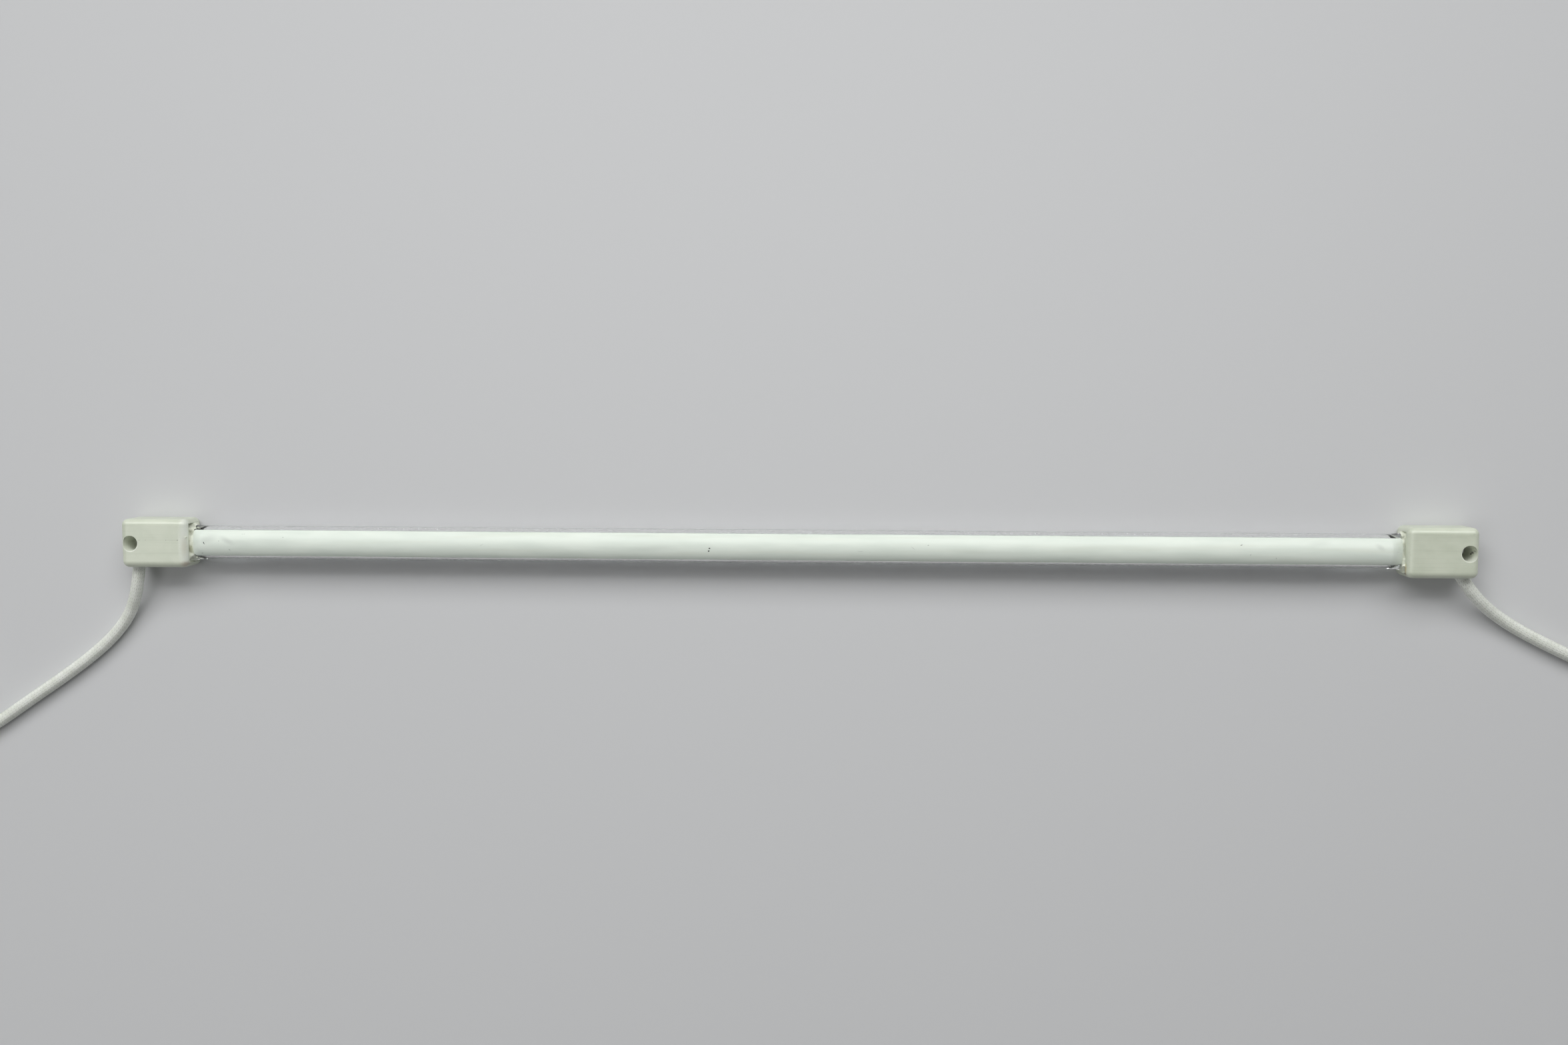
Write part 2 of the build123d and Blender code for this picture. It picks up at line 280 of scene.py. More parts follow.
left_stains_and_lip_light = [
    # Painted light: the left cap's lip on the mouth side is painted paler
    ((-178.1, 0.0, 9.8), (1.3, 7.5, 1.8), (240, 244, 236), 0.9),
    ((-177.9, -6.3, 10.0), (1.3, 0.9, 1.8), (150, 132, 104), 0.65),
    ((-178.2, -1.0, 10.6), (0.7, 2.6, 2.0), (196, 194, 170), 0.45),
]
right_stains_and_hole_shade = [
    ((177.55, -4.6, 9.0), (0.38, 1.3, 0.7), (206, 190, 138), 0.8),
    ((177.6, -6.0, 8.6), (0.4, 0.35, 0.7), (128, 112, 84), 0.7),
    # Painted shade: the left side of the right cap's mounting hole is painted darker
    ((193.0, 0.3, 6.0), (0.9, 1.6, 4.5), (150, 148, 130), 0.35),
]
cement_hollow_shade = [
    ((-177.0, -1.6, 8.4), (0.8, 1.3, 1.4), (150, 154, 112), 0.6),
    ((-177.0, 3.1, 8.2), (0.7, 0.9, 1.4), (152, 156, 134), 0.6),
    ((-177.2, 5.5, 8.2), (1.2, 0.8, 2.2), (118, 124, 104), 0.85),
    ((-177.2, -5.0, 8.0), (0.9, 0.8, 1.6), (150, 158, 146), 0.35),
    ((177.3, 5.2, 8.4), (0.7, 0.8, 1.2), (164, 170, 148), 0.45),
    ((177.4, 1.0, 8.5), (0.4, 2.6, 0.8), (150, 156, 138), 0.55),
    ((177.2, -5.2, 8.2), (0.8, 0.6, 1.2), (154, 160, 142), 0.50),
]

# Floor, in metres, and sky, whose heights are shares of the way up

floor_reach = 40.0
floor_drop = 0.00002
lit_floor_end = 0.32
even_floor_start = 1.1
sky_level = 0.14
horizon_end = 0.05
sky_start = 0.30

# Lamps: place, target and size in metres, power in watts, and whether gloss shows them

lamps = {
    "key": ((-0.2, 1.87, 1.81), (0.0, 0.0, 0.0), (4.4, 1.2), 70.0, True),
    "fill": ((0.01, 0.2, 0.36), (0.01, 0.0, 0.0), (0.3, 0.12), 0.28, False),
    "sheen": ((-0.75, -0.13, 1.2), (-0.19, 0.0, 0.0), (0.56, 0.56), 1.9, True),
}


def camera_rotation(yaw, pitch, roll):
    """Turns of the camera about its own axes, in degrees."""
    turn = Matrix.Rotation(math.radians(roll), 3, "Z")
    turn = turn @ Matrix.Rotation(math.radians(pitch), 3, "X")
    turn = turn @ Matrix.Rotation(math.radians(yaw), 3, "Y")
    return turn.transposed()


def make_camera():
    data = bpy.data.cameras.new("camera")
    data.sensor_width = camera_sensor
    data.lens = camera_lens
    data.clip_start, data.clip_end = camera_clip
    camera = bpy.data.objects.new("camera", data)
    scene.collection.objects.link(camera)
    turn = camera_rotation(camera_yaw, camera_pitch, camera_roll)
    camera.matrix_world = Matrix.Translation(camera_place) @ turn.to_4x4()
    scene.camera = camera


make_camera()

# Materials


def srgb(red, green, blue):
    """A colour from 0 to 255 as linear light."""
    shares = [value / 255 for value in (red, green, blue)]
    return tuple(s / 12.92 if s <= 0.04045 else ((s + 0.055) / 1.055) ** 2.4 for s in shares) + (1.0,)


class Look:
    """A material with helpers for its nodes."""

    def __init__(self, name, **values):
        self.material = bpy.data.materials.new(name)
        self.material.use_nodes = True
        self.tree = self.material.node_tree
        self.shader = self.tree.nodes["Principled BSDF"]
        self.output = self.tree.nodes["Material Output"]
        for socket, value in values.items():
            self.shader.inputs[socket.replace("_", " ")].default_value = value
        self.place = self.add("ShaderNodeTexCoord").outputs["Object"]

    def add(self, kind, **settings):
        node = self.tree.nodes.new(kind)
        for key, value in settings.items():
            setattr(node, key, value)
        return node

    def join(self, source, target):
        self.tree.links.new(source, target)

    def feed(self, node, socket, value):
        """Gives an input a constant or another node's output."""
        if isinstance(value, bpy.types.NodeSocket):
            self.join(value, node.inputs[socket])
        else:
            node.inputs[socket].default_value = value

    def math(self, operation, first, second=0.0, clamp=False):
        node = self.add("ShaderNodeMath", operation=operation, use_clamp=clamp)
        self.feed(node, 0, first)
        self.feed(node, 1, second)
        return node.outputs[0]

    def vector(self, operation, first, second):
        node = self.add("ShaderNodeVectorMath", operation=operation)
        self.feed(node, 0, first)
        self.feed(node, 1, second)
        return node.outputs["Value" if operation == "LENGTH" else "Vector"]

    def stretched(self, scale):
        """The object's coordinates, with a number of features per metre on each axis."""
        return self.vector("MULTIPLY", self.place, scale)

    def noise(self, scale, detail=2.0, roughness=0.5):
        node = self.add("ShaderNodeTexNoise")
        self.join(self.stretched(scale), node.inputs["Vector"])
        node.inputs["Scale"].default_value = 1.0
        node.inputs["Detail"].default_value = detail
        node.inputs["Roughness"].default_value = roughness
        return node.outputs[0]

    def ramp(self, value, start, stop, low=0.0, high=1.0):
        """Maps a value's range smoothly to another range."""
        node = self.add("ShaderNodeMapRange", interpolation_type="SMOOTHSTEP")
        for socket, given in enumerate((value, start, stop, low, high)):
            self.feed(node, socket, given)
        return node.outputs[0]

    def mix(self, share, first, second):
        node = self.add("ShaderNodeMix", data_type="RGBA")
        self.feed(node, 0, share)
        self.feed(node, 6, first)
        self.feed(node, 7, second)
        return node.outputs[2]

    def mix_shaders(self, share, second):
        """Sends the material's own shader, mixed with a second one, to the surface."""
        either = self.add("ShaderNodeMixShader")
        self.join(share, either.inputs[0])
        self.join(self.shader.outputs[0], either.inputs[1])
        self.join(second.outputs[0], either.inputs[2])
        self.join(either.outputs[0], self.output.inputs["Surface"])

    def spot(self, place, centre, size, turn=0.0, soft=0.5):
        """Mask of an oval mark: its centre and half sizes in millimetres, turned about Z."""
        node = self.add("ShaderNodeMapping", vector_type="TEXTURE")
        self.join(place, node.inputs["Vector"])
        node.inputs["Location"].default_value = [value * mm for value in centre]
        node.inputs["Rotation"].default_value = (0, 0, math.radians(turn))
        node.inputs["Scale"].default_value = [value * mm for value in size]
        reach = self.vector("LENGTH", node.outputs[0], (0, 0, 0))
        return self.ramp(reach, 1 - soft, 1 + soft, 1.0, 0.0)

    def stained(self, colour, tint, strength, mask):
        """The colour with a tint laid over it where the mask is."""
        return self.mix(self.math("MULTIPLY", mask, strength), colour, srgb(*tint))

    def shaken(self, amount, scale):
        """The object's coordinates, moved about by noise, so that a mark's edge is uneven."""
        node = self.add("ShaderNodeTexNoise")
        self.join(self.place, node.inputs["Vector"])
        node.inputs["Scale"].default_value = scale
        centred = self.vector("SUBTRACT", node.outputs["Color"], (0.5, 0.5, 0.5))
        moved = self.vector("MULTIPLY", centred, (amount * mm,) * 3)
        return self.vector("ADD", self.place, moved)

    def bump(self, height, distance, strength=1.0, below=None):
        """Normals of a relief, with its height in millimetres, on top of another relief."""
        node = self.add("ShaderNodeBump")
        node.inputs["Strength"].default_value = strength
        node.inputs["Distance"].default_value = distance * mm
        self.join(height, node.inputs["Height"])
        if below is not None:
            self.join(below, node.inputs["Normal"])
        return node.outputs[0]

    def set(self, socket, value):
        self.feed(self.shader, socket, value)


def ceramic(name, line, marks, stains_light_and_shade):
    """Fired ceramic: off-white with a soft sheen, drawn striations, small pits, the marks of use, and
    painted light and shade at a lip and a mounting hole.
    """
    look = Look(name, Specular_IOR_Level=0.9)
    cloud = look.noise((180, 260, 260), detail=3)
    streak = look.noise((45, 2600, 2600), detail=2)
    colour = look.mix(look.ramp(cloud, 0.3, 0.7), srgb(199, 206, 187), srgb(208, 214, 196))
    colour = look.mix(look.ramp(streak, 0.5, 0.8, 0.0, 0.22), colour, srgb(172, 177, 158))
    pits = look.ramp(look.noise((2300, 2300, 2300), detail=1), 0.78, 0.84)
    colour = look.stained(colour, (130, 128, 110), 0.25, pits)
    # Painted light: the walls of each mounting hole are painted paler, and the pale ring this leaves at
    # the rim stands in for a highlight
    hole_light = (hole_light_reach, hole_light_reach, hole_light_height)
    for side in ends.values():
        mask = look.spot(look.place, (side * hole_x, hole_light_y, axis_z), hole_light, soft=0.04)
        colour = look.mix(mask, colour, srgb(238, 242, 229))
    for centre, size, turn, strength in line:
        mask = look.spot(look.place, centre, size, turn, soft=0.6)
        colour = look.stained(colour, (110, 110, 96), strength, mask)
    place = look.shaken(0.5, 1800)
    # Stains, with painted light on the left cap's lip and painted shade in the right cap's hole
    for centre, size, tint, strength in stains_light_and_shade:
        colour = look.stained(colour, tint, strength, look.spot(place, centre, size, soft=0.8))
    for centre, size, turn, strength in marks:
        mask = look.spot(place, centre, size, turn, soft=0.35)
        colour = look.stained(colour, (74, 72, 62), strength, mask)
    look.set("Base Color", colour)
    look.set("Roughness", look.ramp(cloud, 0.25, 0.75, 0.30, 0.38))
    grain = look.noise((5200, 5200, 5200), detail=3, roughness=0.6)
    normal = look.bump(grain, 0.02, 0.5)
    normal = look.bump(streak, 0.02, 0.5, normal)
    look.set("Normal", look.bump(look.math("SUBTRACT", 1.0, pits), 0.03, 0.5, normal))
    return look.material


def coat_look():
    """Sprayed ceramic reflector: bright white, finely pebbled, with small chips and grey smudges."""
    look = Look("reflector_white")
    cloud = look.noise((60, 300, 300), detail=3)
    colour = look.mix(look.ramp(cloud, 0.3, 0.7), srgb(218, 227, 217), srgb(226, 234, 224))
    warm = look.ramp(look.noise((25, 500, 500), detail=2), 0.5, 0.75, 0.0, 0.25)
    colour = look.mix(warm, colour, srgb(209, 213, 197))
    place = look.shaken(0.35, 2600)
    for centre, size, turn, strength in coat_smudges:
        mask = look.spot(place, centre, size, turn, soft=0.9)
        colour = look.stained(colour, (150, 156, 150), strength, mask)
    chipped = None
    for centre, size, turn, strength in coat_chips:
        mask = look.math("MULTIPLY", look.spot(place, centre, size, turn, soft=0.3), strength)
        colour = look.mix(mask, colour, srgb(38, 42, 40))
        chipped = mask if chipped is None else look.math("MAXIMUM", chipped, mask)
    look.set("Base Color", colour)
    look.set("Roughness", look.ramp(cloud, 0.25, 0.75, 0.42, 0.55))
    pebble = look.noise((2600, 2600, 2600), detail=3, roughness=0.6)
    normal = look.bump(pebble, 0.012, 0.5)
    wave = look.noise((130, 420, 420), detail=2)
    normal = look.bump(wave, 0.06, 0.5, normal)
    look.set("Normal", look.bump(look.math("SUBTRACT", 1.0, chipped), 0.06, 0.8, normal))
    return look.material


def quartz_look():
    """Clear fused quartz with fine drawn lines, dust and a few scratches. Lamps shine through it."""
    look = Look("clear_quartz", Transmission_Weight=1.0, IOR=1.458)
    look.set("Base Color", (0.985, 0.995, 0.99, 1.0))
    dust = look.ramp(look.noise((3400, 3400, 3400), detail=1), 0.72, 0.77)
    patch = look.ramp(look.noise((35, 90, 90), detail=2), 0.45, 0.65)
    dust = look.math("MULTIPLY", dust, patch)
    scratch = look.ramp(look.noise((90, 3600, 3600), detail=1), 0.72, 0.76, 0.0, 0.7)
    marks = look.math("MAXIMUM", dust, scratch)
    look.set("Roughness", look.ramp(marks, 0.0, 1.0, 0.015, 0.42))
    drawn = look.noise((6, 700, 700), detail=2)
    normal = look.bump(drawn, 0.02, 0.35)
    look.set("Normal", look.bump(marks, 0.015, 0.4, normal))
    clear = look.add("ShaderNodeBsdfTransparent")
    clear.inputs["Color"].default_value = (0.93, 0.945, 0.94, 1.0)
    look.mix_shaders(look.add("ShaderNodeLightPath").outputs["Is Shadow Ray"], clear)
    return look.material


def metal_look(name, dark, light, roughness, drawn):
    """Bare metal with lines of drawing along X and uneven shine."""
    look = Look(name, Metallic=1.0)
    cloud = look.noise((900, 1300, 1300), detail=3)
    look.set("Base Color", look.mix(look.ramp(cloud, 0.3, 0.7), srgb(*dark), srgb(*light)))
    look.set("Roughness", look.ramp(cloud, 0.3, 0.7, roughness - 0.07, roughness + 0.07))
    lines = look.noise((300, drawn, drawn), detail=2)
    look.set("Normal", look.bump(lines, 0.01, 0.4))
    return look.material


def cement_look():
    """Rough cream-coloured cement with grains and pores, and painted shade in its hollows."""
    look = Look("cement")
    cloud = look.noise((700, 700, 700), detail=4, roughness=0.6)
    colour = look.mix(look.ramp(cloud, 0.35, 0.7), srgb(215, 219, 201), srgb(238, 242, 230))
    place = look.shaken(0.8, 1200)
    # Painted shade: darker tints laid into the cement's hollows
    for centre, size, tint, strength in cement_hollow_shade:
        colour = look.stained(colour, tint, strength, look.spot(place, centre, size, soft=0.6))
    pores = look.ramp(look.noise((4200, 4200, 4200), detail=2), 0.63, 0.72)
    colour = look.stained(colour, (150, 148, 118), 0.4, pores)
    look.set("Base Color", colour)
    look.set("Roughness", look.ramp(cloud, 0.3, 0.7, 0.78, 0.92))
    grain = look.noise((6500, 6500, 6500), detail=4, roughness=0.65)
    normal = look.bump(grain, 0.06, 0.8)
    look.set("Normal", look.bump(look.math("SUBTRACT", 1.0, pores), 0.08, 0.7, normal))
    return look.material


def yarn_heights(look):
    """Height of the yarns of each hand, from the place along the braid and around it."""
    split = look.add("ShaderNodeSeparateXYZ")
    look.join(look.add("ShaderNodeAttribute", attribute_name="braid").outputs["Vector"], split.inputs[0])
    turn = look.math("MULTIPLY", split.outputs["Y"], float(braid_yarns))
    weave = look.math("COSINE", look.math("MULTIPLY", turn, math.pi))
    heights = []
    for hand in (1.0, -1.0):
        phase = look.math("SUBTRACT", split.outputs["X"], look.math("MULTIPLY", turn, hand))
        across = look.math("MULTIPLY", look.math("SUBTRACT", look.math("FRACT", phase), 0.5), 2.0)
        yarn = look.math("SQRT", look.math("SUBTRACT", 1.0, look.math("MULTIPLY", across, across)))
        yarn = look.math("ADD", look.math("MULTIPLY", yarn, yarn_round), 1 - yarn_round)
        lift = look.math("ADD", look.math("MULTIPLY", weave, yarn_sway * hand), 1 - yarn_sway)
        heights.append(look.math("MULTIPLY", yarn, lift))
    return heights


def braid_look():
    """Braided glass yarn, over two and under two, with the sheen of fibres that lie side by side and
    painted shade in the grooves between the yarns.
    """
    look = Look("glass_braid", IOR=1.8, Specular_IOR_Level=1.0, Anisotropic=0.85)
    heights = yarn_heights(look)
    height = look.math("MAXIMUM", *heights)
    cloud = look.noise((350, 350, 350), detail=2)
    fibre = look.noise((9000, 9000, 9000), detail=2)
    crown = look.mix(look.ramp(cloud, 0.3, 0.7), srgb(235, 239, 228), srgb(245, 248, 240))
    crown = look.mix(look.ramp(fibre, 0.5, 0.75, 0.0, 0.2), crown, srgb(192, 196, 182))
    # Painted shade: the grooves between the yarns are painted darker
    look.set("Base Color", look.mix(look.ramp(height, 0.66, 0.36, 0.0, 0.62), crown, srgb(112, 117, 100)))
    look.set("Roughness", look.ramp(fibre, 0.3, 0.7, 0.46, 0.56))
    normal = look.bump(height, 0.28, 1.0)
    look.set("Normal", look.bump(fibre, 0.02, 0.5, normal))
    ahead = look.add("ShaderNodeAttribute", attribute_name="ahead").outputs["Vector"]
    around = look.vector("CROSS_PRODUCT", look.add("ShaderNodeNewGeometry").outputs["Normal"], ahead)
    slant = math.atan2(math.pi * lead_diameter, braid_yarns * braid_spacing)
    hand = look.math("SUBTRACT", look.math("GREATER_THAN", *heights), 0.5)
    lean = look.vector("MULTIPLY", ahead, look.math("MULTIPLY", hand, -2.0 * math.sin(slant)))
    look.set("Tangent", look.vector("ADD", look.vector("MULTIPLY", around, (math.cos(slant),) * 3), lean))
    return look.material


def tape_look():
    """Woven glass tape: threads that cross over and under each other."""
    look = Look("tie_tape")
    cloud = look.noise((600, 600, 600), detail=3)
    colour = look.mix(look.ramp(cloud, 0.3, 0.7), srgb(219, 222, 211), srgb(233, 236, 227))
    weave = look.add("ShaderNodeTexChecker")
    look.join(look.place, weave.inputs["Vector"])
    weave.inputs["Scale"].default_value = 2600.0
    thread = weave.outputs["Fac"]
    look.set("Base Color", look.stained(colour, (176, 180, 166), 0.35, thread))
    look.set("Roughness", look.ramp(cloud, 0.3, 0.7, 0.5, 0.7))
    look.set("Normal", look.bump(thread, 0.08, 0.8))
    return look.material


materials = {
    "clear_quartz": quartz_look(),
    "reflector_white": coat_look(),
    "tungsten": metal_look("tungsten", (96, 96, 100), (136, 136, 140), 0.38, 5200),
    "molybdenum": metal_look("molybdenum", (128, 126, 124), (164, 162, 158), 0.36, 4200),
    "nickel": metal_look("nickel", (150, 146, 136), (188, 184, 172), 0.32, 3800),
    "tinned_metal": metal_look("tinned_metal", (168, 170, 172), (204, 206, 207), 0.28, 2600),
    "ceramic_left": ceramic("cap_ceramic_left", left_line, left_marks, left_stains_and_lip_light),
    "ceramic_right": ceramic("cap_ceramic_right", [], right_marks, right_stains_and_hole_shade),
    "cement": cement_look(),
    "glass_braid": braid_look(),
    "tie_tape": tape_look(),
}

# Mesh helpers


def smooth(mesh, sharp):
    """Shades a mesh smoothly, apart from edges over an angle."""
    mesh.polygons.foreach_set("use_smooth", np.ones(len(mesh.polygons), dtype=bool))
    mesh.set_sharp_from_angle(angle=math.radians(sharp))


def piece(name, vertices, faces, material, stands_for, sharp=180.0):
    """A mesh piece from points in millimetres, in place of the named solids. Its slot is its material."""
    mesh = bpy.data.meshes.new(name)
    mesh.from_pydata((np.asarray(vertices) * mm).tolist(), [], faces)
    smooth(mesh, sharp)
    mesh.materials.append(materials[material])
    mesh.update()
    made = bpy.data.objects.new(name, mesh)
    scene.collection.objects.link(made)
    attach(made, "root")
    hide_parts(*stands_for)
    return made


def ring_faces(rings, around, first=0, flip=False):
    """Quads between neighbouring rings of points."""
    row, column = np.meshgrid(np.arange(rings - 1), np.arange(around), indexing="ij")
    following = (column + 1) % around
    corners = [row * around + column, row * around + following]
    corners += [(row + 1) * around + following, (row + 1) * around + column]
    if flip:
        corners.reverse()
    return (np.stack(corners, axis=-1).reshape(-1, 4) + first).tolist()


def end_face(around, first, flip):
    """One face over a whole ring."""
    face = list(range(first, first + around))
    return face[::-1] if flip else face


def closed_faces(rings, around, first=0, flip=False):
    """Quads between neighbouring rings, and a face over each end."""
    faces = ring_faces(rings, around, first, flip)
    faces.append(end_face(around, first, not flip))
    faces.append(end_face(around, first + (rings - 1) * around, flip))
    return faces


def swept(centres, offsets):
    """Rings of points around a line, from each ring's points across and up."""
    ahead = np.gradient(centres, axis=0)
    ahead /= np.linalg.norm(ahead, axis=1)[:, None]
    across = np.empty_like(centres)
    side = np.cross(ahead[0], (0.0, 0.0, 1.0))
    for i, forward in enumerate(ahead):
        side = side - forward * np.dot(side, forward)
        side /= np.linalg.norm(side)
        across[i] = side
    up = np.cross(across, ahead)
    return centres[:, None, :] + offsets[..., :1] * across[:, None, :] + offsets[..., 1:] * up[:, None, :]


def rough(place, scale, depth=2):
    """Repeatable noise from about -1 to 1 at a point in millimetres."""
    return noise.fractal(Vector(place) / scale, 1.0, 2.0, depth)


# Leads


def on_circle(middle, radius, angle):
    """A point at the coil's height, on a circle around a middle."""
    return (middle[0] + radius * math.cos(angle), middle[1] + radius * math.sin(angle), coil_height)


def lead_points(name):
    """Control points of a lead: its route, the turns of its coil and its tail."""
    side = ends[name]
    points = [(side * (exit_x + out), exit_y + along, up) for out, along, up in lead_routes[name]]
    before, joint = points[-2:]
    heading = math.atan2(joint[1] - before[1], joint[0] - before[0])
    start = heading - side * math.pi / 2
    middle = on_circle(joint, -coil_outer_radius, start)
    turns = coil_turns[name]
    count = round(turns * coil_points_per_turn)
    for i in range(count):
        turn = turns * (i + 0.5) / count
        share = min(max((turn - coil_step_start) / (1 - coil_step_start), 0.0), 1.0)
        radius = coil_outer_radius + (coil_inner_radius - coil_outer_radius) * share
        radius /= math.cos(math.pi * turns / count)
        points.append(on_circle(middle, radius, start + side * 2 * math.pi * turn))
    last = start + side * 2 * math.pi * turns
    bend = on_circle(middle, coil_inner_radius - tail_radius, last)
    step = math.radians(tail_angle) / tail_points
    for i in range(tail_points):
        angle = last + side * step * (i + 0.5)
        points.append(on_circle(bend, tail_radius / math.cos(step / 2), angle))
    points.append(on_circle(bend, tail_radius, last + side * math.radians(tail_angle)))
    return points


def smooth_line(name, points):
    """Points along the NURBS spline that has these control points."""
    data = bpy.data.curves.new(name, "CURVE")
    data.dimensions = "3D"
    spline = data.splines.new("NURBS")
    spline.points.add(len(points) - 1)
    for control, place in zip(spline.points, points):
        control.co = (*place, 1.0)
    spline.order_u = 3
    spline.use_endpoint_u = True
    spline.resolution_u = spline_steps
    curve = bpy.data.objects.new(name, data)
    scene.collection.objects.link(curve)
    bpy.context.view_layer.update()
    mesh = bpy.data.meshes.new_from_object(curve)
    line = np.array([vertex.co for vertex in mesh.vertices], float)
    bpy.data.objects.remove(curve)
    bpy.data.curves.remove(data)
    bpy.data.meshes.remove(mesh)
    return line


def spaced(line, step):
    """The line with evenly spaced points, and their distances along it."""
    along = np.concatenate([[0.0], np.cumsum(np.linalg.norm(np.diff(line, axis=0), axis=1))])
    count = int(round(along[-1] / step)) + 1
    wanted = np.linspace(0.0, along[-1], count)
    return np.stack([np.interp(wanted, along, line[:, axis]) for axis in range(3)], axis=1), wanted


def braid_relief_at(along, angle):
    """How high the braid stands, from 0 in a groove to 1 on a yarn's crown: over two, under two."""
    turn = braid_yarns * angle / (2 * math.pi)
    weave = np.cos(braid_yarns * angle / 2)
    height = np.zeros(np.broadcast(along, angle).shape)
    for hand in (1, -1):
        phase = along / braid_spacing - hand * turn
        across = 2 * (phase - np.floor(phase)) - 1
        yarn = 1 - yarn_round + yarn_round * np.sqrt(np.clip(1 - across**2, 0.0, 1.0))
        height = np.maximum(height, yarn * (1 - yarn_sway + yarn_sway * hand * weave))
    return height


def mark_braid(mesh, centres, along):
    """Tells the material its place along the braid and around it, and the lead's direction."""
    row, column = np.meshgrid(np.arange(len(centres) - 1), np.arange(braid_around), indexing="ij")
    lengths = np.stack([along[row], along[row], along[row + 1], along[row + 1]], axis=-1) / braid_spacing
    turns = np.stack([column, column + 1, column + 1, column], axis=-1) / braid_around
    corners = np.zeros((len(mesh.loops), 3), np.float32)
    corners[: lengths.size, 0] = lengths.ravel()
    corners[: turns.size, 1] = turns.ravel()
    mesh.attributes.new("braid", "FLOAT_VECTOR", "CORNER").data.foreach_set("vector", corners.ravel())
    ahead = np.gradient(centres, axis=0)
    ahead /= np.linalg.norm(ahead, axis=1)[:, None]
    directions = np.repeat(ahead, braid_around, axis=0).astype(np.float32)
    mesh.attributes.new("ahead", "FLOAT_VECTOR", "POINT").data.foreach_set("vector", directions.ravel())


def make_lead(name):
    """A lead's braid, swept along its route and coil, with its place along the braid marked for the
    material.
    """
    line = smooth_line(f"lead_line_{name}", lead_points(name))
    centres, along = spaced(line, braid_step)
    angle = np.linspace(0, 2 * math.pi, braid_around, endpoint=False)
    height = braid_relief_at(along[:, None], angle[None, :])
    generator = np.random.default_rng(braid_seed)
    height = height * (1 + braid_uneven * generator.standard_normal(height.shape).clip(-2, 2))
    radius = lead_diameter / 2 - braid_relief * (1 - height.clip(0, braid_highest))
    offsets = np.stack([radius * np.cos(angle), radius * np.sin(angle)], axis=-1)
    rings = swept(centres, offsets)
    faces = closed_faces(len(centres), braid_around)
    solids = (f"lead_{name}", f"lead_coil_{name}")
    lead = piece(f"braided_lead_{name}", rings.reshape(-1, 3), faces, "glass_braid", solids)
    mark_braid(lead.data, centres, along)


for end in ends:
    make_lead(end)

# Quartz tube


def eased(share):
    """From 0 to 1, with a soft start and stop."""
    share = np.clip(share, 0.0, 1.0)
    return 0.5 * share + 0.5 * share * share * (3 - 2 * share)


def glass_size(x):
    """Half width, half height and squareness of the tube's outside at one place along it."""
    share = eased((abs(x) - shoulder_start) / (pinch_start - shoulder_start))
    width = tube_radius + (pinch_half_width - pinch_step - tube_radius) * share
    height = tube_radius + (pinch_half_height - pinch_step - tube_radius) * share
    press = np.clip((abs(x) - pinch_start) / pinch_step_run, 0.0, 1.0)
    square = round_shape + (pinch_shape - round_shape) * press
    return width + pinch_step * press, height + pinch_step * press, square


def bore_size(x):
    """Half width, half height and squareness of the bore at one place along it."""
    share = eased((abs(x) - shoulder_start) / (bore_end - shoulder_start))
    width = bore_radius + (bore_end_half_width - bore_radius) * share
    height = bore_radius + (bore_end_half_height - bore_radius) * share
    return width, height, round_shape


def outline(width, height, square, around):
    """Points around an oval or a squarish oval, across and up."""
    angle = np.linspace(0, 2 * math.pi, around, endpoint=False)
    across = np.sign(np.cos(angle)) * np.abs(np.cos(angle)) ** (2 / square) * width
    up = np.sign(np.sin(angle)) * np.abs(np.sin(angle)) ** (2 / square) * height
    return np.stack([across, up], axis=-1)


def mirrored(values):
    """The same places on both sides of the middle, in order."""
    values = np.asarray(values)
    return np.concatenate([-values[::-1], values])


def ring_at(x, across):
    """A ring of points around the tube's axis at x, from points across and up."""
    return np.column_stack([np.full(len(across), x), across[:, 0], axis_z + across[:, 1]])


def tube_rings(places, size_at, end, closing, around):
    """Rings along both halves of the tube, with smaller rings past them that round off the two ends."""
    rings = [ring_at(x, outline(*size_at(x), around)) for x in mirrored(np.concatenate(places))]
    for share, x in closing:
        across = outline(*size_at(end), around) * share
        rings = [ring_at(-x, across), *rings, ring_at(x, across)]
    return rings


def make_quartz():
    """The glass as a closed outside and a closed bore."""
    around = 96
    outside_places = [
        np.linspace(first_ring_x, long_rings_end, 40),
        np.linspace(close_rings_start, pinch_start, 26),
        np.linspace(pinch_start, pinch_start + pinch_step_run, 6)[1:],
        np.linspace(flat_rings_start, flat_rings_end, 6),
    ]
    bore_places = [
        np.linspace(first_ring_x, bore_long_rings_end, 40),
        np.linspace(shoulder_start, bore_end, 14),
    ]
    outside = tube_rings(outside_places, glass_size, pinch_end, pinch_closing, around)
    bore = tube_rings(bore_places, bore_size, bore_end, bore_closing, around)
    faces = closed_faces(len(outside), around)
    faces += closed_faces(len(bore), around, len(outside) * around, flip=True)
    piece("quartz_glass", np.concatenate(outside + bore), faces, "clear_quartz", ("quartz_tube",))


# Reflector coat


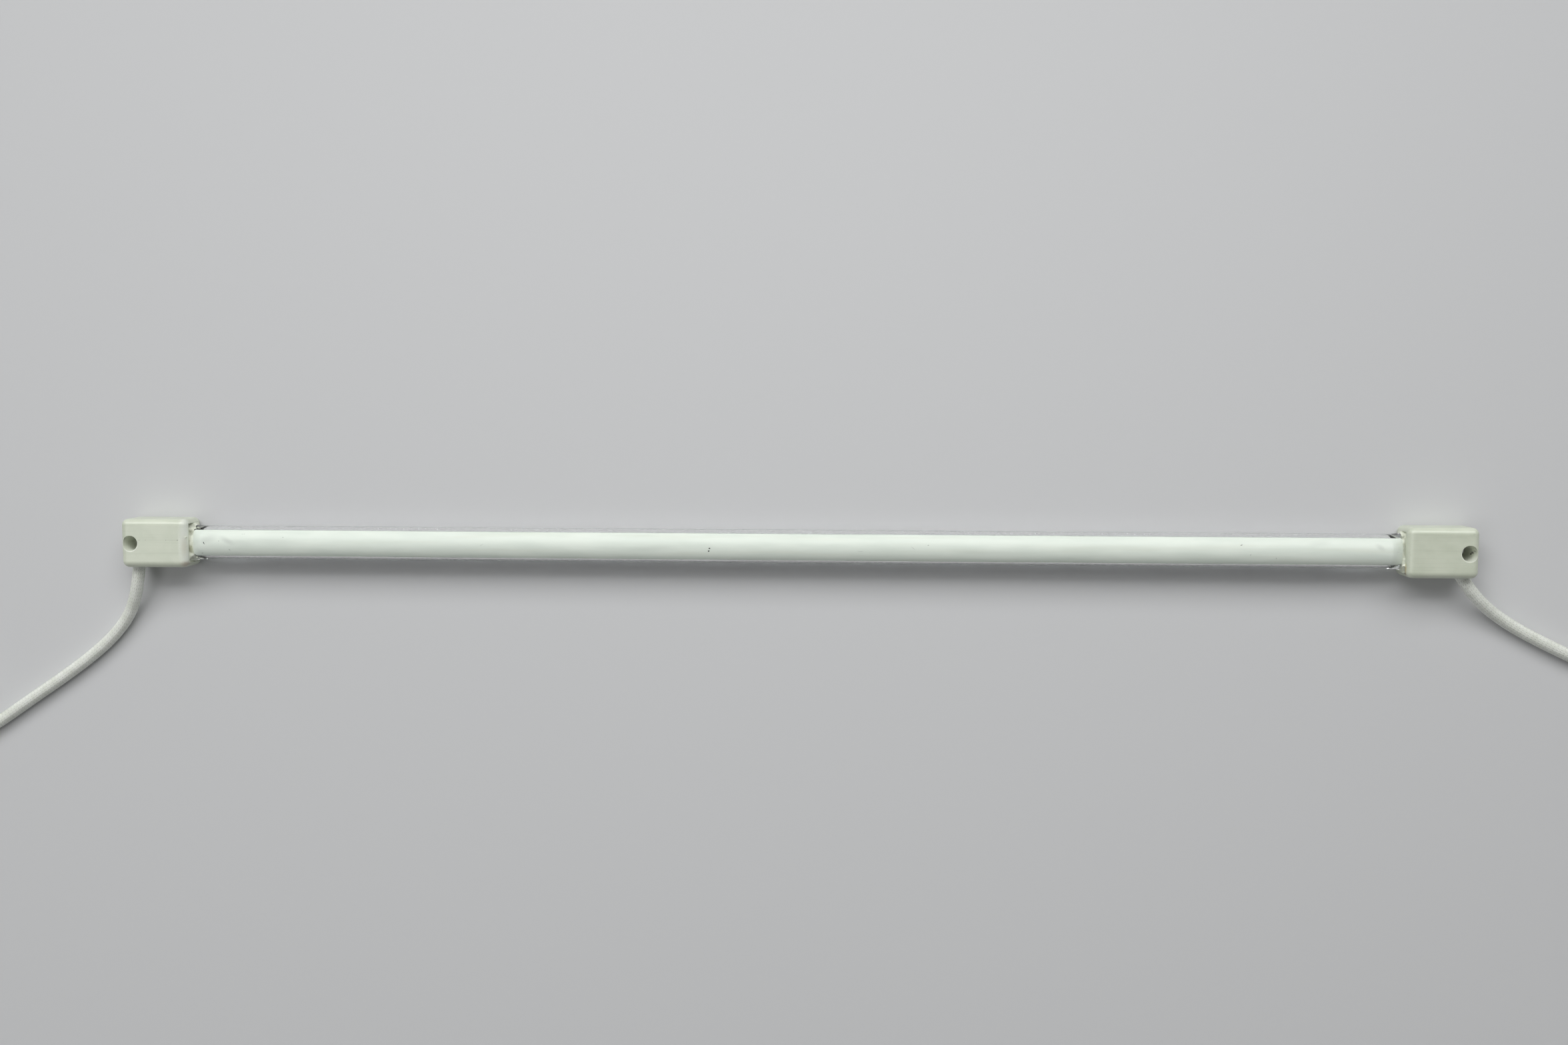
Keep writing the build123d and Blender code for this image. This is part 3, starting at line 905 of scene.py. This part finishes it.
def coat_points(side, distance, share):
    """The coat's points on the glass and outside, at a distance from an end and a share of its width."""
    corner = max(0.0, 1 - min(share, 1 - share) / coat_corner_share)
    edge = coat_end + coat_reach[side] - coat_corner_cut * corner**2
    edge += coat_ragged[side] * rough((side * 40, share * 9.0, 2.0), 1.0, 3)
    x = side * (edge - distance * edge / coat_end)
    low = -coat_lower_angle + coat_sway * rough((x, 0.0, 5.0), coat_sway_length)
    high = coat_upper_angle + coat_sway * rough((x, 0.0, 9.0), coat_sway_length)
    angle = math.radians(low + (high - low) * share)
    width, height, _ = glass_size(x)
    y = tube_radius * math.sin(angle)
    z = height * math.sqrt(max(1 - (y / width) ** 2, 0.0))
    out = Vector((0.0, y / width**2, z / height**2)).normalized()
    border = min(share, 1 - share) * (high - low) / coat_side_feather
    feather = min(1.0, coat_thinnest + (1 - coat_thinnest) * min(border, distance / coat_end_feather))
    thick = coat_thickness * feather * (1 + coat_uneven * rough((x, y, z), 3.0))
    offsets = (coat_glass_gap, min(thick, coat_thickness))
    return [(x, y + out.y * offset, axis_z + z + out.z * offset) for offset in offsets]


def make_coat():
    """The coat as a thin closed shell with feathered, slightly uneven edges."""
    around = 49
    # Rows lie close together near the coat's two ends
    inward = np.concatenate(
        [
            [0.0, 0.12, 0.3, 0.6],
            np.linspace(1.0, 8.0, 22),
            np.linspace(10.0, coat_end, 62),
        ]
    )
    rows = [(-1, distance) for distance in inward]
    rows += [(1, distance) for distance in inward[-2::-1]]
    count = len(rows)
    layer = count * around
    grids = np.zeros((2, count, around, 3))
    for row, (side, distance) in enumerate(rows):
        for column, share in enumerate(np.linspace(0.0, 1.0, around)):
            grids[:, row, column] = coat_points(side, distance, share)
    faces = []
    for row in range(count - 1):
        for column in range(around - 1):
            quad = [row * around + column, row * around + column + 1]
            quad += [(row + 1) * around + column + 1, (row + 1) * around + column]
            faces.append(quad)
            faces.append([index + layer for index in reversed(quad)])
    border = list(range(around))
    border += [row * around + around - 1 for row in range(1, count)]
    border += [(count - 1) * around + column for column in range(around - 2, -1, -1)]
    border += [row * around for row in range(count - 2, 0, -1)]
    for here, there in zip(border, border[1:] + border[:1]):
        faces.append([there, here, here + layer, there + layer])
    piece("reflector_coat", grids.reshape(-1, 3), faces, "reflector_white", ("reflector_coating",))


# Filament


def make_filament():
    """The wound tungsten wire."""
    per_turn = 14
    turns = 2 * filament_end / filament_pitch
    count = int(turns * per_turn)
    turn = np.linspace(0, 2 * math.pi * turns, count)
    radius = filament_radius - filament_wire / 2
    middle = np.stack(
        [
            np.linspace(-filament_end + filament_wire / 2, filament_end - filament_wire / 2, count),
            radius * np.cos(turn),
            axis_z + radius * np.sin(turn),
        ],
        axis=1,
    )
    around = 6
    angle = np.linspace(0, 2 * math.pi, around, endpoint=False)
    section = np.stack([np.cos(angle), np.sin(angle)], axis=-1) * filament_wire / 2
    rings = swept(middle, np.broadcast_to(section, (count, around, 2)))
    piece("filament_coil", rings.reshape(-1, 3), closed_faces(count, around), "tungsten", ("filament",))


# Cement


def polar_reach(width, height, angle):
    """Distance from the middle to an oval, in a direction."""
    return 1 / math.hypot(math.cos(angle) / width, math.sin(angle) / height)


def pocket_reach(angle):
    """Distance from the middle to the pocket's wall, in a direction."""
    flat = pocket_half_width / max(abs(math.cos(angle)), 1e-6)
    steep = pocket_half_height / max(abs(math.sin(angle)), 1e-6)
    return min(flat, steep)


def cement_front(name, angle, share, across):
    """How far the cement lies behind the lip: it creeps out along the glass, and has hollows."""
    side = ends[name]
    lump = rough((math.cos(angle) * 5 + side * 30, math.sin(angle) * 5, share * 1.5), 1.1, 3)
    depth = cement_recess + cement_roughness * lump - cement_creep[name] * (1 - share) ** 1.3
    if math.sin(angle) > 0:
        for middle, width, hollow in cement_hollows[name]:
            depth += hollow * math.exp(-(((across - middle) / width) ** 2)) * (1 - (2 * share - 1) ** 4)
    return depth


def cement_lump(middle, size, first):
    """One uneven lump."""
    around = 16
    rows = 9
    points = []
    for row in range(rows):
        tilt = math.pi * (row + 0.5) / rows - math.pi / 2
        for step in range(around):
            angle = 2 * math.pi * step / around
            out = (math.cos(tilt) * math.cos(angle), math.cos(tilt) * math.sin(angle), math.sin(tilt))
            swell = 1 + lump_swell * rough((out[0] + middle[0], out[1] + middle[1], out[2]), 0.7, 2)
            points.append([m + s * swell * o for m, s, o in zip(middle, size, out)])
    return points, closed_faces(rows, around, first)


def make_cement(name):
    """Lumpy cement between the glass and the pocket's walls."""
    side = ends[name]
    around = 192
    across = 13
    points = []
    for ring in range(across + 2):
        share = min(max((ring - 1) / (across - 1), 0.0), 1.0)
        for step in range(around):
            angle = 2 * math.pi * step / around
            x = pinch_end
            if 0 < ring <= across:
                reach = 0.5 * (polar_reach(*glass_size(mouth)[:2], angle) + pocket_reach(angle))
                x = mouth + cement_front(name, angle, share, reach * math.cos(angle))
            width, height, _ = glass_size(x)
            inner = polar_reach(width + cement_glass_gap, height + cement_glass_gap, angle)
            outer = max(pocket_reach(angle) - cement_wall_gap, inner + cement_wall_gap)
            reach = inner + (outer - inner) * share
            points.append((side * x, reach * math.cos(angle), axis_z + reach * math.sin(angle)))
    faces = ring_faces(across + 2, around, flip=side < 0)
    last = (across + 1) * around
    for step in range(around):
        following = (step + 1) % around
        quad = [last + step, last + following, following, step]
        faces.append(quad[::-1] if side < 0 else quad)
    for middle, size in cement_lumps[name]:
        more_points, more_faces = cement_lump(middle, size, len(points))
        points += more_points
        faces += more_faces
    piece(f"cement_{name}", points, faces, "cement", (f"cap_cement_{name}",), cement_sharp_edge)


make_quartz()
make_coat()
make_filament()
for end in ends:
    make_cement(end)

# Looks of the solids that stay

solid_looks = {
    "filament_support": "tungsten",
    "inner_lead": "tungsten",
    "seal_foil": "molybdenum",
    "outer_pin": "molybdenum",
    "weld_tab": "nickel",
    "lead_conductor": "nickel",
    "lead_ferrule": "tinned_metal",
    "coil_tie": "tie_tape",
    "end_cap_left": "ceramic_left",
    "end_cap_right": "ceramic_right",
}
for name, node in nodes.items():
    for start, material in solid_looks.items():
        if name.startswith(start):
            node.data.materials.clear()
            node.data.materials.append(materials[material])
            smooth(node.data, sharp_edge)

# Floor and light

pale = srgb(193, 194, 195)


def make_floor():
    """A pale floor that is lit near the object and turns into an even pale background further off."""
    mesh = bpy.data.meshes.new("floor")
    sides = [(-1, -1), (1, -1), (1, 1), (-1, 1)]
    corners = [(floor_reach * x, floor_reach * y, -floor_drop) for x, y in sides]
    mesh.from_pydata(corners, [], [(0, 1, 2, 3)])
    look = Look("floor", Roughness=0.8)
    look.set("Base Color", srgb(204, 205, 206))
    glow = look.add("ShaderNodeEmission")
    glow.inputs["Color"].default_value = pale
    path = look.add("ShaderNodeLightPath")
    seen = look.math("ADD", path.outputs["Is Camera Ray"], path.outputs["Is Glossy Ray"], clamp=True)
    seen = look.math("ADD", seen, path.outputs["Is Transmission Ray"], clamp=True)
    far = look.ramp(look.vector("LENGTH", look.place, (0, 0, 0)), lit_floor_end, even_floor_start)
    look.mix_shaders(look.math("MULTIPLY", far, seen), glow)
    mesh.materials.append(look.material)
    floor = bpy.data.objects.new("floor", mesh)
    scene.collection.objects.link(floor)


def make_lamp(name, place, target, size, power, reflected):
    data = bpy.data.lights.new(name, "AREA")
    data.shape = "RECTANGLE"
    data.size, data.size_y = size
    data.energy = power
    lamp = bpy.data.objects.new(name, data)
    lamp.visible_glossy = reflected
    lamp.location = place
    lamp.rotation_mode = "QUATERNION"
    lamp.rotation_quaternion = (Vector(target) - Vector(place)).to_track_quat("-Z", "Y")
    scene.collection.objects.link(lamp)


def make_sky():
    """A dim sky that grows pale towards the horizon."""
    world = bpy.data.worlds.new("studio")
    world.use_nodes = True
    tree = world.node_tree
    place = tree.nodes.new("ShaderNodeTexCoord")
    split = tree.nodes.new("ShaderNodeSeparateXYZ")
    tree.links.new(place.outputs["Generated"], split.inputs[0])
    rise = tree.nodes.new("ShaderNodeMapRange")
    rise.interpolation_type = "SMOOTHSTEP"
    tree.links.new(split.outputs["Z"], rise.inputs["Value"])
    rise.inputs["From Min"].default_value = horizon_end
    rise.inputs["From Max"].default_value = sky_start
    sky = tree.nodes.new("ShaderNodeMix")
    sky.data_type = "RGBA"
    tree.links.new(rise.outputs["Result"], sky.inputs[0])
    sky.inputs[6].default_value = pale
    sky.inputs[7].default_value = (sky_level, sky_level, sky_level, 1.0)
    tree.links.new(sky.outputs[2], tree.nodes["Background"].inputs["Color"])
    scene.world = world


make_floor()
for name, settings in lamps.items():
    make_lamp(name, *settings)
make_sky()
